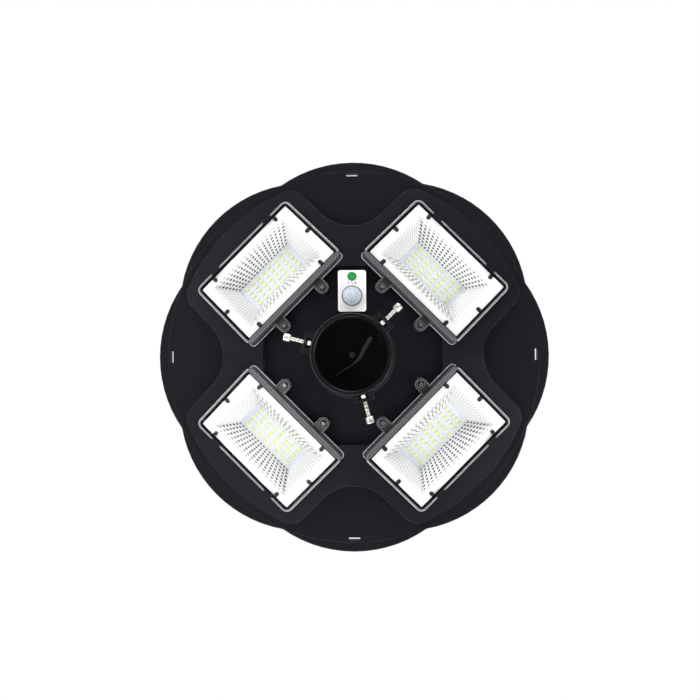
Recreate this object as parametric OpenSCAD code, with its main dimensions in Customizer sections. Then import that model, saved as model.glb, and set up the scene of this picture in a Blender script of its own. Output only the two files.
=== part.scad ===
// Solar street light head: a saucer body that sits on a pole, hung light side down.
// Millimetres, +Z up. The origin is the middle of the collar's mouth, the lowest point.

/* [Body] */
// width across two opposite lobes of the rim
body_w = 450; // [300:1:600]
// height of the rim's underside above the collar's mouth
rim_z = 80; // [70:1:110]
// how far each of the eight rim lobes stands out from the round body
lobe_out = 9.4; // [5:0.1:12]
// thickness of the moulded walls
wall = 3; // [2:0.1:4]
// height of the domed top above the rim
dome_h = 32; // [28:0.5:60]
// distance of the four slots from the middle
slot_r = 210; // [200:0.5:212]
// length of each slot
slot_l = 13; // [8:0.5:20]
// width of each slot
slot_w = 2.8; // [2:0.1:3.6]

/* [Plateau] */
// half width of each arm of the cross-shaped plateau
arm_half = 90; // [84:0.5:96]
// radius of the plateau's outer ends
arm_end = 206; // [200:0.5:208]
// tilt of the light modules, outwards
tilt = 12; // [8:0.5:18]
// half width of the central well, across its axis sides
well_half = 100; // [95:0.5:106]
// height of the central well's floor above the collar's mouth
floor_z = 61; // [57:0.5:64]

/* [Light modules] */
// distance of a module's middle from the lamp's axis
mod_r = 134.4; // [130:0.5:140]
// height of a module's face above the collar's mouth, at its middle
mod_z = 61; // [58:0.5:64]
// length of the clear cover
cover_l = 146.4; // [130:0.2:154]
// width of the clear cover
cover_w = 94.8; // [84:0.2:99]
// thickness of the clear cover
cover_t = 2.5; // [2:0.1:3.5]
// depth of the reflector, face to board
refl_d = 23; // [18:0.5:25]
// distance from the cover's ends to the reflector's opening
end_border = 15.6; // [13.5:0.1:20]
// distance from the cover's long sides to the reflector's opening
side_border = 14.1; // [12:0.1:18]
// length of the lit part of the board
board_l = 79; // [60:0.5:90]
// width of the lit part of the board
board_w = 32.2; // [26:0.5:40]
// spacing of the two cover screws
tab_gap = 60.4; // [48:0.2:72]

/* [Pole collar] */
// bore the pole goes into
bore_d = 77; // [61:0.5:80]
// thickness of the collar at its mouth
collar_t = 4.8; // [3:0.1:6]
// depth of the socket
socket_d = 32; // [26:0.5:38]
// height of the clamp screws above the mouth
clamp_z = 13; // [11:0.5:16]
// diameter of the clamp screws
clamp_d = 5; // [4:0.5:6]
// length of the clamp screws, under the head
clamp_l = 27; // [24:0.5:34]
// length of the clamp screws' heads
clamp_head_l = 7.4; // [5:0.1:9]

/* [Sensor plate] */
// width of the sensor plate
plate_w = 31.4; // [24:0.2:34]
// length of the sensor plate
plate_l = 46.4; // [38:0.2:50]
// radius of the sensor's dome
lens_r = 11.4; // [8:0.1:12.5]
// radius of the push button
button_r = 4.6; // [3.5:0.1:5.5]

/* [Solar panel] */
// diameter of the solar panel
panel_d = 336; // [280:1:345]
// thickness of the solar panel
panel_t = 4; // [3:0.5:6]

/* [Hidden] */
$fn = 96;
k = body_w / 450;
round_r = body_w / 2 - lobe_out - 1.2;
lobe_r = 144.7 * k;
lobe_c = body_w / 2 - lobe_r;
split_z = rim_z + 4;
flange_z = split_z + 4;
dome_r = slot_r - slot_w / 2 - 2;
top_z = flange_z + dome_h - 8;
seat_z = top_z - panel_t;
seat_r = panel_d / 2 + 0.4;
arm_round = 20;
fillet_r = 46;
well_diag = mod_r - (cover_w / 2 + 3.2) * cos(tilt);
tab_w = -(cover_w / 2 + 11.2);
refl_x = 1.8;
refl_l = cover_l - 2 * end_border;
refl_w = cover_w - 2 * side_border;
hook_l = 12;
hook_y = tab_gap / 2 + 11.3;
peg_y = refl_l / 2 - 8.6;
peg_l = 3;
tab_top = -1;
tab_t = 3;
seat_n = -7;
board_n = -refl_d - 1;
collar_r = bore_d / 2 + collar_t;
recess = 2.5;
ceiling_z = socket_d + recess;
clamp_head = clamp_d * 1.7;
tip_r = bore_d / 2 + 0.5;
backed_off = [0, 1.5, 2.5];
boss_r = bore_d / 2 + 13.5;
nut_af = clamp_d * 1.6;
nut_t = clamp_d * 0.8;
nut_r = bore_d / 2 + 8.3;
plate_y = -(bore_d / 2 + 10.1 + plate_l / 2);
plate_z = floor_z - 10;
plate_spare = plate_l - 2 * lens_r - 2 * button_r;
lens_y = plate_y + plate_l / 2 - lens_r - plate_spare * 0.44;
button_y = plate_y - plate_l / 2 + button_r + plate_spare * 0.16;
CLAMPS = [-45, -165, -285];
lead_w = 4;
lead = [[21, -19], [13.8, -6.7], [7.7, 4.3], [-0.9, 11.6], [-10.6, 17.7], [-18, 23.6]];

// ---------- helpers ----------
module at_module(i) {
    rotate([0, 0, -45 + 90 * i])
        translate([mod_r, 0, mod_z])
            rotate([0, -tilt, 0])
                rotate([180, 0, 0])
                    children();
}

// points along an arc, from angle a to angle b
function arc(cx, cy, r, a, b, n) =
    [for (i = [0 : n]) [cx + r * cos(a + (b - a) * i / n), cy + r * sin(a + (b - a) * i / n)]];

// outline turned by an angle
function turn(p, a) = [p[0] * cos(a) - p[1] * sin(a), p[0] * sin(a) + p[1] * cos(a)];

module round_rect(l, w, r, h) {
    // w runs outwards (x), l runs sideways (y)
    x = w / 2 - r;
    y = l / 2 - r;
    linear_extrude(height = h)
        polygon(concat(arc(x, y, r, 0, 90, 5), arc(-x, y, r, 90, 180, 5),
                       arc(-x, -y, r, 180, 270, 5), arc(x, -y, r, 270, 360, 5)));
}

module taper(l1, w1, l2, w2, h) {
    a = w1 / 2;
    b = l1 / 2;
    c = w2 / 2;
    d = l2 / 2;
    polyhedron(
        points = [[-a, -b, 0], [a, -b, 0], [a, b, 0], [-a, b, 0],
                  [-c, -d, h], [c, -d, h], [c, d, h], [-c, d, h]],
        faces = [[0, 1, 2, 3], [7, 6, 5, 4], [0, 4, 5, 1], [1, 5, 6, 2], [2, 6, 7, 3], [3, 7, 4, 0]]);
}

// outline of the eight-lobed rim, some way inside its edge
module lobed_plate(z1, z2, inset) {
    r = lobe_r - inset;
    b = 22.5 + asin(lobe_c * sin(22.5) / r);
    translate([0, 0, z1]) linear_extrude(height = z2 - z1)
        polygon([for (a = [0 : 45 : 315], i = [0 : 13]) turn([lobe_c + r * cos(b * (i / 7 - 1)),
                                                              r * sin(b * (i / 7 - 1))], a)]);
}

module slots() {
    for (a = [0 : 90 : 270])
        rotate([0, 0, a]) translate([slot_r - slot_w / 2, -slot_l / 2, rim_z - 10])
            cube([slot_w, slot_l, 30]);
}

// outline of the cross: four arms along the diagonals, d mm inside the outer face
function arm_points(d) =
    let (h = arm_half - d, e = arm_end - d, r = arm_round, f = fillet_r + d,
         x = sqrt((e - r) * (e - r) - (h - r) * (h - r)),
         t = atan2(h - r, x), c = h + f)
    concat(arc(c, -c, f, 126, 90, 4),
           arc(x, -(h - r), r, -90, -t, 6),
           arc(0, 0, e, -t + 2, t - 2, 12),
           arc(x, h - r, r, t, 90, 6),
           arc(c, c, f, 270, 225, 5));

module cross_2d(d) {
    polygon([for (a = [45 : 90 : 315], p = arm_points(d)) turn(p, a)]);
}

module below_planes(lift) {
    // everything under the four tilted plateau faces, lifted by some amount
    for (i = [0 : 3]) at_module(i)
        translate([-400, -400, -2.5 - lift]) cube([800, 800, 300]);
}

module well_2d(d) {
    intersection() {
        square([2 * (well_half + d), 2 * (well_half + d)], center = true);
        rotate(45) square([2 * (well_diag + d), 2 * (well_diag + d)], center = true);
    }
}

// ---------- top ----------
module top_shell() {
    color([0.05, 0.05, 0.06]) difference() {
        union() {
            lobed_plate(split_z, flange_z - 1.2, 0);
            lobed_plate(flange_z - 1.2, flange_z, 1);
            rotate_extrude($fn = 180) polygon([
                [0, split_z], [dome_r, split_z], [dome_r, flange_z + 1],
                [dome_r - 3, flange_z + dome_h * 0.2], [dome_r - 10, flange_z + dome_h * 0.42],
                [dome_r - 20, top_z - 3], [dome_r - 28, top_z], [0, top_z]]);
        }
        translate([0, 0, seat_z]) cylinder(r = seat_r, h = 20, $fn = 180);
        rotate_extrude($fn = 180) polygon([
            [0, split_z - 1], [dome_r - wall, split_z - 1], [dome_r - wall, flange_z],
            [dome_r - 3 - wall, flange_z + dome_h * 0.2 - 1],
            [dome_r - 10 - wall, flange_z + dome_h * 0.42 - 2],
            [seat_r + 4, seat_z - wall], [0, seat_z - wall]]);
        slots();
    }
}

module solar_panel() {
    color([0.05, 0.08, 0.2]) translate([0, 0, seat_z]) cylinder(d = panel_d, h = panel_t, $fn = 180);
}

// ---------- body ----------
module bottom_shell() {
    color([0.06, 0.06, 0.07]) difference() {
        union() {
            difference() {
                union() {
                    lobed_plate(rim_z + 1, rim_z + 2, 0.8);
                    lobed_plate(rim_z + 2, split_z, 0);
                    translate([0, 0, rim_z]) cylinder(r = round_r, h = 4, $fn = 180);
                    rotate_extrude($fn = 180) polygon([
                        [110, rim_z - 4], [arm_end - 1, rim_z], [arm_end - 1, split_z], [110, split_z]]);
                    difference() {
                        translate([0, 0, 20]) linear_extrude(height = split_z - 20) cross_2d(0);
                        below_planes(0);
                    }
                }
                difference() {
                    translate([0, 0, 20]) linear_extrude(height = split_z - 19) cross_2d(wall);
                    below_planes(wall);
                }
            }
            difference() {
                translate([0, 0, 20]) linear_extrude(height = floor_z + wall - 20) well_2d(wall);
                below_planes(0);
            }
            for (i = [0 : 3]) at_module(i) {
                translate([0, 0, seat_n - wall])
                    round_rect(cover_l + 1 + 2 * wall, cover_w + 1 + 2 * wall, 9, wall - seat_n - 2.5);
                translate([0, 0, board_n - 4.1])
                    round_rect(cover_l - 8 + 2 * wall, cover_w - 8 + 2 * wall, 7, -board_n + 1.6);
                for (y = [-hook_y, hook_y]) {
                    translate([cover_w / 2 + 0.3, y - hook_l / 2, -3]) cube([3, hook_l, cover_t + 4.6]);
                    translate([cover_w / 2 - 3.8, y - hook_l / 2, cover_t + 0.2]) cube([5, hook_l, 1.4]);
                }
            }
        }
        translate([0, 0, 0]) linear_extrude(height = floor_z) well_2d(0);
        for (i = [0 : 3]) at_module(i) {
            translate([0, 0, seat_n]) round_rect(cover_l + 0.6, cover_w + 0.6, 7.8, cover_t + 0.1 - seat_n);
            translate([0, 0, board_n - 1.6])
                round_rect(cover_l - 8, cover_w - 8, 4, -board_n + 10);
            for (y = [-1, 1])
                translate([-cover_w / 2 - 6, y * tab_gap / 2 - 7.4, tab_top - tab_t - 0.2])
                    cube([8, 14.8, 10]);
        }
        translate([0, 0, floor_z - 1]) cylinder(r = collar_r - 6, h = 20);
        slots();
    }
    color([0.06, 0.06, 0.07]) difference() {
        for (i = [0 : 3]) at_module(i)
            for (y = [-1, 1])
                translate([tab_w, y * tab_gap / 2, -16]) cylinder(r = 5.6, h = 16 + tab_top - tab_t, $fn = 48);
        for (i = [0 : 3]) at_module(i)
            for (y = [-1, 1])
                translate([tab_w, y * tab_gap / 2, -15]) cylinder(r = 1.55, h = 30, $fn = 32);
        translate([0, 0, floor_z + 1]) cylinder(r = 130, h = 40);
    }
    color([0.06, 0.06, 0.07]) difference() {
        translate([-plate_w / 2 + 1, plate_y - plate_l / 2 + 1, plate_z + 2])
            cube([plate_w - 2, plate_l - 5, floor_z - plate_z - 1]);
        translate([0, button_y, plate_z]) cylinder(r = button_r + 0.6, h = 9, $fn = 48);
    }
}

// ---------- collar and clamps ----------
module clamp_boss() {
    difference() {
        translate([bore_d / 2 + 1, -11, 2]) cube([boss_r - bore_d / 2 - 1, 22, clamp_z + 9]);
        translate([nut_r - nut_t / 2 - 0.3, -nut_af / 2 - 0.2, -1])
            cube([nut_t + 0.6, nut_af + 0.4, clamp_z + nut_af / 2 + 2]);
        translate([nut_r - nut_t / 2 - 1, -6, -1]) cube([nut_t + 2, 12, clamp_z - nut_af / 2 - 0.5]);
    }
}

module pole_collar() {
    color([0.05, 0.05, 0.05]) difference() {
        union() {
            rotate_extrude($fn = 120) polygon([
                [0, socket_d], [bore_d / 2 - 1, socket_d], [bore_d / 2 - 1, 1], [bore_d / 2 + 1, 0],
                [collar_r - 0.6, 0], [collar_r, 0.8], [collar_r + 1.6, floor_z - 8],
                [collar_r + 5.5, floor_z - 3], [collar_r + 5.5, floor_z], [0, floor_z]]);
            for (a = CLAMPS) rotate([0, 0, a]) clamp_boss();
        }
        translate([0, 0, -1]) cylinder(d = bore_d, h = socket_d + 1, $fn = 120);
        translate([0, 0, socket_d - 1]) cylinder(r = bore_d / 2 - 7, h = 1 + recess, $fn = 96);
        translate([0, 0, ceiling_z + 3]) cylinder(r = bore_d / 2 - 3, h = floor_z, $fn = 96);
        for (a = CLAMPS) rotate([0, 0, a]) {
            translate([bore_d / 2 - 2, 0, clamp_z]) rotate([0, 90, 0])
                cylinder(r = clamp_d / 2 + 0.06, h = 20, $fn = 48);
            translate([nut_r - nut_t / 2 - 0.3, -nut_af / 2 - 0.2, -1])
                cube([nut_t + 0.6, nut_af + 0.4, clamp_z + nut_af / 2 + 2]);
        }
        translate([0, 0, ceiling_z - 1]) cylinder(r = 1.65, h = 8, $fn = 32);
    }
}

module clamp_screw(i) {
    color([0.7, 0.68, 0.64]) rotate([0, 0, CLAMPS[i]]) translate([tip_r + backed_off[i], 0, clamp_z])
        rotate([0, 90, 0]) difference() {
            union() {
                cylinder(r1 = clamp_d / 2 - 0.6, r2 = clamp_d / 2, h = 0.8, $fn = 48);
                translate([0, 0, 0.8]) cylinder(d = clamp_d, h = clamp_l - 0.8, $fn = 48);
                translate([0, 0, clamp_l]) cylinder(d = clamp_head, h = clamp_head_l - 0.4, $fn = 48);
                translate([0, 0, clamp_l + clamp_head_l - 0.4])
                    cylinder(r1 = clamp_head / 2, r2 = clamp_head / 2 - 0.4, h = 0.4, $fn = 48);
            }
            translate([0, 0, clamp_l + clamp_head_l / 2]) cylinder(d = clamp_d * 0.92, h = 10, $fn = 6);
        }
}

module clamp_nut(i) {
    color([0.66, 0.64, 0.6]) rotate([0, 0, CLAMPS[i]]) translate([nut_r - nut_t / 2, 0, clamp_z])
        rotate([0, 90, 0]) difference() {
            cylinder(d = nut_af / cos(30), h = nut_t, $fn = 6);
            translate([0, 0, -1]) cylinder(r = clamp_d / 2 + 0.06, h = 20, $fn = 48);
        }
}

// ---------- light modules ----------
module led_cover(i) {
    color([0.7, 0.75, 0.78, 0.4]) at_module(i) difference() {
        union() {
            translate([0, 0, seat_n]) round_rect(cover_l, cover_w, 7.5, -seat_n + cover_t - 0.6);
            translate([0, 0, cover_t - 0.7]) round_rect(cover_l - 1, cover_w - 1, 7, 0.7);
            for (y = [-1, 1]) translate([0, y * tab_gap / 2, tab_top - tab_t]) {
                translate([tab_w, 0, 0]) cylinder(r = 7, h = tab_t, $fn = 48);
                translate([tab_w, -7, 0]) cube([-tab_w - cover_w / 2 + 1.5, 14, tab_t]);
            }
        }
        translate([0, 0, seat_n - 1]) round_rect(cover_l - 5, cover_w - 5, 5, 1 - seat_n);
        for (y = [-1, 1])
            translate([tab_w, y * tab_gap / 2, -20]) cylinder(r = 1.7, h = 30, $fn = 32);
    }
}

module peg_notch(h) {
    translate([-2.2, -20, 0]) cube([4.4, 20, h]);
    cylinder(r = 2.2, h = h, $fn = 32);
}

module reflector(i) {
    fl = refl_l + 20.3;
    fw = refl_w + 15;
    color([0.9, 0.91, 0.93]) at_module(i) translate([refl_x, 0, 0]) difference() {
        union() {
            translate([0, 0, -1.9]) round_rect(fl, fw, 1, 1.6);
            translate([0, 0, -0.3]) rotate([180, 0, 0])
                taper(refl_l + 3, refl_w + 3, board_l + 3, board_w + 3, refl_d + 0.7);
        }
        translate([0, 0, -0.3]) rotate([180, 0, 0])
            taper(refl_l, refl_w, board_l, board_w, refl_d + 0.7);
        translate([0, 0, 0]) cube([refl_w, refl_l, 0.62], center = true);
        translate([0, 0, -refl_d - 1]) cube([board_w, board_l, 2.2], center = true);
        for (x = [-1, 1], y = [-peg_y, peg_y])
            translate([x * (fw / 2 - peg_l), y, -3]) rotate([0, 0, x * 90]) peg_notch(6);
        for (y = [-1, 1])
            translate([0, y * (fl / 2 - peg_l), -3]) rotate([0, 0, 90 + y * 90]) peg_notch(6);
    }
}

module led_board(i) {
    color([0.75, 0.85, 0.92]) at_module(i) {
        translate([refl_x - board_w / 2 - 3, -board_l / 2 - 4, board_n - 1.6])
            cube([board_w + 6, board_l + 8, 1.6]);
    }
}

module cover_screws(i) {
    color([0.7, 0.68, 0.66]) at_module(i)
        for (y = [-1, 1]) translate([tab_w, y * tab_gap / 2, tab_top]) difference() {
            union() {
                translate([0, 0, 0]) cylinder(r = 3.2, h = 1.2, $fn = 48);
                translate([0, 0, 1.2]) cylinder(r1 = 3.2, r2 = 2.2, h = 0.9, $fn = 48);
                translate([0, 0, -9.5]) cylinder(r = 1.5, h = 10, $fn = 32);
            }
            translate([-2, -0.45, 1]) cube([4, 0.9, 2]);
            translate([-0.45, -2, 1]) cube([0.9, 4, 2]);
        }
}

// ---------- sensor plate and small parts ----------
module sensor_plate() {
    color([0.92, 0.92, 0.9]) difference() {
        translate([0, plate_y, plate_z]) round_rect(plate_l, plate_w, 2.6, 2);
        translate([0, button_y, plate_z - 1]) cylinder(r = button_r + 0.08, h = 9, $fn = 64);
        translate([0, lens_y, plate_z - 1]) cylinder(r = lens_r - 3, h = 9, $fn = 64);
    }
}

module sensor_lens() {
    color([0.85, 0.9, 0.95]) translate([0, lens_y, plate_z]) rotate([180, 0, 0]) difference() {
        union() {
            intersection() {
                translate([0, 0, -0.4]) sphere(r = lens_r - 0.6, $fn = 64);
                cylinder(r = lens_r + 2, h = 20);
            }
            cylinder(r = lens_r, h = 1, $fn = 64);
        }
        translate([0, 0, -0.4]) sphere(r = lens_r - 1.8, $fn = 64);
        translate([0, 0, -3]) cylinder(r = lens_r - 2.6, h = 3.5, $fn = 64);
    }
}

module power_button() {
    color([0.1, 0.6, 0.25]) translate([0, button_y, plate_z - 1.6]) {
        cylinder(r = button_r, h = 6, $fn = 64);
    }
}

module ceiling_screw() {
    color([0.7, 0.68, 0.66]) difference() {
        union() {
            translate([0, 0, ceiling_z - 1.4]) cylinder(r = 3.4, h = 1.4, $fn = 48);
            translate([0, 0, ceiling_z - 2]) cylinder(r1 = 2.4, r2 = 3.4, h = 0.6, $fn = 48);
            translate([0, 0, ceiling_z - 1]) cylinder(r = 1.6, h = 5, $fn = 32);
        }
        translate([-2.2, -0.5, ceiling_z - 3]) cube([4.4, 1, 2]);
        translate([-0.5, -2.2, ceiling_z - 3]) cube([1, 4.4, 2]);
    }
}

function side(i) = let (
        d1 = lead[max(i, 1)] - lead[max(i, 1) - 1], d2 = lead[min(i, 4) + 1] - lead[min(i, 4)],
        n = [-d1[1], d1[0]] / norm(d1) + [-d2[1], d2[0]] / norm(d2)) 2 * n / (n * n);

module socket_lead() {
    color([0.25, 0.25, 0.27]) translate([0, 0, ceiling_z - 1.2]) linear_extrude(height = 1.2)
        polygon(concat([for (i = [0 : 5]) lead[i] + lead_w / 2 * side(i)],
                       [for (i = [5 : -1 : 0]) lead[i] - lead_w / 2 * side(i)]));
}

top_shell();
solar_panel();
bottom_shell();
pole_collar();
clamp_screw(0);  // clamp_screw_1
clamp_screw(1);  // clamp_screw_2
clamp_screw(2);  // clamp_screw_3
clamp_nut(0);  // clamp_nut_1
clamp_nut(1);  // clamp_nut_2
clamp_nut(2);  // clamp_nut_3
led_cover(0);  // led_cover_1
led_cover(1);  // led_cover_2
led_cover(2);  // led_cover_3
led_cover(3);  // led_cover_4
reflector(0);  // reflector_1
reflector(1);  // reflector_2
reflector(2);  // reflector_3
reflector(3);  // reflector_4
led_board(0);  // led_board_1
led_board(1);  // led_board_2
led_board(2);  // led_board_3
led_board(3);  // led_board_4
cover_screws(0);  // cover_screws_1
cover_screws(1);  // cover_screws_2
cover_screws(2);  // cover_screws_3
cover_screws(3);  // cover_screws_4
sensor_plate();
sensor_lens();
power_button();
ceiling_screw();
socket_lead();
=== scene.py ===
# %% [markdown]
# # A solar street light's head, finished for rendering
# The construction comes in as a fixed frame: every part at its real size, in metres, with +Z up and the
# origin in the middle of the pole collar's mouth. This file adds what a construction model leaves out:
# eased edges, threads, light chips, hammered reflectors, solar cells and the finish of every surface.

# %% Load the frame
import math

import bmesh
import bpy
from mathutils import Matrix, Vector


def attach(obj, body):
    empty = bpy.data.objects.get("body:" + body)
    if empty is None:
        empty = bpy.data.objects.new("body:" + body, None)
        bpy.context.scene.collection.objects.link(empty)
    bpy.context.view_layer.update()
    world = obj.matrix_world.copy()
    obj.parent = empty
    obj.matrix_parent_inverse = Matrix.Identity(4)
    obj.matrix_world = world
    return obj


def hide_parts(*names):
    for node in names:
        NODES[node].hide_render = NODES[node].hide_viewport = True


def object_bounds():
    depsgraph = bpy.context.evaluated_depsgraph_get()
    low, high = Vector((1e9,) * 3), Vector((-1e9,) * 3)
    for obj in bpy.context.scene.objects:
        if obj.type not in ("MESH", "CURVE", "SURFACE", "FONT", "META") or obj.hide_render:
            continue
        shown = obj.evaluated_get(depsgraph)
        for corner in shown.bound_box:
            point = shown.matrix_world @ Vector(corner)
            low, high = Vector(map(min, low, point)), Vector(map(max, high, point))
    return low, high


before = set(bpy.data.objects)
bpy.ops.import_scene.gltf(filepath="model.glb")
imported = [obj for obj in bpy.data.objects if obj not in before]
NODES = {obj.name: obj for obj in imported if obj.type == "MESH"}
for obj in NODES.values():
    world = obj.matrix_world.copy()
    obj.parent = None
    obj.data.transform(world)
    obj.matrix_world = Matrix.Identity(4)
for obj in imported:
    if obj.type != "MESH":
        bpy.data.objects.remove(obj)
cad_low, cad_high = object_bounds()
HEAD = "lamp_head"
MM = 0.001

# %% [markdown]
# ## Camera
# The head is seen from below, as a person at the foot of the pole would see it through a long lens. The
# camera stands a little off the axis, so the collar, which comes nearest, slides a few millimetres over the
# rim behind it.

# %% Camera
RIM_Z = 80 * MM
CAMERA_AT = Vector((18.1, 18.7, -780.0)) * MM
CAMERA_TO = Vector((-3.5, -6.5, 80.0)) * MM
CAMERA_UP = Vector((0.0074, -1.0, 0.0))
FIELD_MM = 38.36


def aim(obj, at, to, up):
    """Points an object's -Z at a target, with its +Y near to up."""
    back = (at - to).normalized()
    side = up.cross(back).normalized()
    rot = Matrix((side, back.cross(side), back)).transposed()
    obj.matrix_world = Matrix.Translation(at) @ rot.to_4x4()


lens = bpy.data.cameras.new("camera")
lens.lens = FIELD_MM
lens.sensor_width = 36.0
lens.clip_start = 0.01
lens.clip_end = 50.0
camera = bpy.data.objects.new("camera", lens)
bpy.context.scene.collection.objects.link(camera)
aim(camera, CAMERA_AT, CAMERA_TO, CAMERA_UP)
bpy.context.scene.camera = camera
print("camera", round((CAMERA_AT - CAMERA_TO).length, 3), "m from the rim")

# %% [markdown]
# ## Light
# A satin black moulding shows its form only where an edge or a slope catches a lamp. So the lamps stand
# round the sides, where flat faces reflect them away from the camera and rounded edges send them back as
# thin bright lines. The world is white where the camera looks past the object and above, and dimmer below.

# %% Node helpers


def set_input(tree, socket, value):
    """Links another node's socket, or sets a plain value."""
    if isinstance(value, bpy.types.NodeSocket):
        tree.links.new(value, socket)
    else:
        socket.default_value = value


def new_node(tree, kind, **values):
    """Adds a node and gives its inputs by name, with an underscore for each space."""
    node = tree.nodes.new(kind)
    for name, value in values.items():
        set_input(tree, node.inputs[name.replace("_", " ")], value)
    return node


def maths(tree, operation, a, b=None):
    """A maths node on numbers or sockets; returns its output."""
    node = tree.nodes.new("ShaderNodeMath")
    node.operation = operation
    for socket, value in zip(node.inputs, (a, b)):
        if value is not None:
            set_input(tree, socket, value)
    return node.outputs[0]


def ramp(tree, value, start, end, low=0.0, high=1.0):
    """Goes from low at one value to high at another."""
    node = new_node(tree, "ShaderNodeMapRange", Value=value, From_Min=start, From_Max=end, To_Min=low,
                    To_Max=high)
    return node.outputs["Result"]


def mixed(tree, factor, a, b):
    """Mixes two colours, the first of which may come from another node."""
    node = tree.nodes.new("ShaderNodeMix")
    node.data_type = "RGBA"
    set_input(tree, node.inputs["A"], a if isinstance(a, bpy.types.NodeSocket) else (*a, 1.0))
    set_input(tree, node.inputs["B"], (*b, 1.0))
    set_input(tree, node.inputs["Factor"], factor)
    return node.outputs["Result"]


# %% World and lamps
scene = bpy.context.scene
scene.view_settings.view_transform = "Standard"
SKY_HIGH = 0.95
SKY_LOW = 0.3
HAZE_FROM, HAZE_TO = -0.15, 0.25


def white_world():
    """A white world to the camera, and to the object a sky that is dimmer below than above."""
    world = bpy.data.worlds.new("studio")
    scene.world = world
    world.use_nodes = True
    tree = world.node_tree
    tree.nodes.clear()
    path = tree.nodes.new("ShaderNodeLightPath")
    coord = tree.nodes.new("ShaderNodeTexCoord")
    split = new_node(tree, "ShaderNodeSeparateXYZ", Vector=coord.outputs["Generated"])
    height = ramp(tree, split.outputs["Z"], HAZE_FROM, HAZE_TO, SKY_LOW, SKY_HIGH)
    strength = maths(tree, "MAXIMUM", path.outputs["Is Camera Ray"], height)
    sky = new_node(tree, "ShaderNodeBackground", Color=(1.0, 1.0, 1.0, 1.0), Strength=strength)
    new_node(tree, "ShaderNodeOutputWorld", Surface=sky.outputs[0])


white_world()


def lamp(name, at, size, power):
    """A rectangular lamp that faces the head."""
    light = bpy.data.lights.new(name, "AREA")
    light.shape = "RECTANGLE"
    light.size, light.size_y = size
    light.energy = power
    obj = bpy.data.objects.new(name, light)
    scene.collection.objects.link(obj)
    up = (0.0, 0.0, 1.0) if abs(at[2]) < 0.9 else (0.0, 1.0, 0.0)
    aim(obj, Vector(at), Vector((0.0, 0.0, 0.05)), Vector(up))


lamp("low_left", (-1.35, -0.5, -0.75), (1.1, 0.8), 17.0)
lamp("low_right", (1.3, 0.6, -0.8), (1.1, 0.8), 18.0)
lamp("low_front", (0.2, -1.4, -0.7), (1.2, 0.6), 15.0)
lamp("low_back", (-0.3, 1.45, -0.7), (1.2, 0.6), 14.0)
lamp("front_fill", (-1.5, 1.2, -2.1), (1.2, 1.2), 14.0)
lamp("high_key", (-0.9, -1.0, 1.5), (1.0, 1.0), 22.0)
lamp("high_fill", (1.2, 0.9, 1.2), (1.0, 1.0), 10.0)
print("lamps:", len(bpy.data.lights))

# %% [markdown]
# ## Floor
# The head can stand on its collar on a bench, so a pale floor lies under it. The camera looks up through
# that floor, so it shows only from above, only to the camera, and lets the low lamps shine through.

# %% Floor
FLOOR_HALF = 6.0


def plain_floor():
    mesh = bpy.data.meshes.new("floor")
    h = FLOOR_HALF
    mesh.from_pydata([(-h, -h, 0), (h, -h, 0), (h, h, 0), (-h, h, 0)], [], [(0, 1, 2, 3)])
    mesh.transform(Matrix.Translation((0.0, 0.0, cad_low[2] - 0.0004)))
    obj = bpy.data.objects.new("floor", mesh)
    scene.collection.objects.link(obj)
    mat = bpy.data.materials.new("floor")
    mat.use_nodes = True
    tree = mat.node_tree
    tree.nodes.clear()
    camera_ray = tree.nodes.new("ShaderNodeLightPath").outputs["Is Camera Ray"]
    behind = tree.nodes.new("ShaderNodeNewGeometry").outputs["Backfacing"]
    front = maths(tree, "SUBTRACT", camera_ray, behind)
    front.node.use_clamp = True
    paint = new_node(tree, "ShaderNodeBsdfDiffuse", Color=(0.86, 0.86, 0.85, 1.0))
    clear = tree.nodes.new("ShaderNodeBsdfTransparent")
    mix = tree.nodes.new("ShaderNodeMixShader")
    for socket, value in zip(mix.inputs, (front, clear.outputs[0], paint.outputs[0])):
        tree.links.new(value, socket)
    new_node(tree, "ShaderNodeOutputMaterial", Surface=mix.outputs[0])
    mesh.materials.append(mat)


plain_floor()
print("floor at", round(cad_low[2], 4), "m")

# %% [markdown]
# ## Finishes
# One shader group makes the fine texture that a spark-eroded mould leaves on plastic: a close grain for the
# bump and a slow drift for the roughness. Each plastic places it with its own values.

# %% Shared grain group


def group_tree(name, kind, inputs, outputs):
    """A node group with named sockets; returns it with its input and output nodes."""
    tree = bpy.data.node_groups.new(name, kind)
    for label, socket_kind, start in inputs:
        socket = tree.interface.new_socket(label, in_out="INPUT", socket_type="NodeSocket" + socket_kind)
        if start is not None:
            socket.default_value = start
    for label, socket_kind in outputs:
        tree.interface.new_socket(label, in_out="OUTPUT", socket_type="NodeSocket" + socket_kind)
    return tree, tree.nodes.new("NodeGroupInput"), tree.nodes.new("NodeGroupOutput")


def grain_group():
    tree, inp, outp = group_tree(
        "moulded grain", "ShaderNodeTree",
        (("Scale", "Float", 1500.0), ("Rough low", "Float", 0.38), ("Rough high", "Float", 0.5)),
        (("Height", "Float"), ("Roughness", "Float")))
    place = tree.nodes.new("ShaderNodeTexCoord").outputs["Object"]
    fine = new_node(tree, "ShaderNodeTexNoise", Vector=place, Scale=inp.outputs["Scale"], Detail=2.0)
    slow = new_node(tree, "ShaderNodeTexNoise", Vector=place, Scale=14.0, Detail=4.0)
    rough = ramp(tree, slow.outputs["Fac"], 0.3, 0.7, inp.outputs["Rough low"], inp.outputs["Rough high"])
    tree.links.new(fine.outputs["Fac"], outp.inputs["Height"])
    tree.links.new(rough, outp.inputs["Roughness"])
    return tree


GRAIN = grain_group()
print("grain group:", len(GRAIN.nodes), "nodes")

# %% Materials


def shader(mat):
    """A material's tree and its Principled shader."""
    return mat.node_tree, mat.node_tree.nodes["Principled BSDF"]


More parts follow.
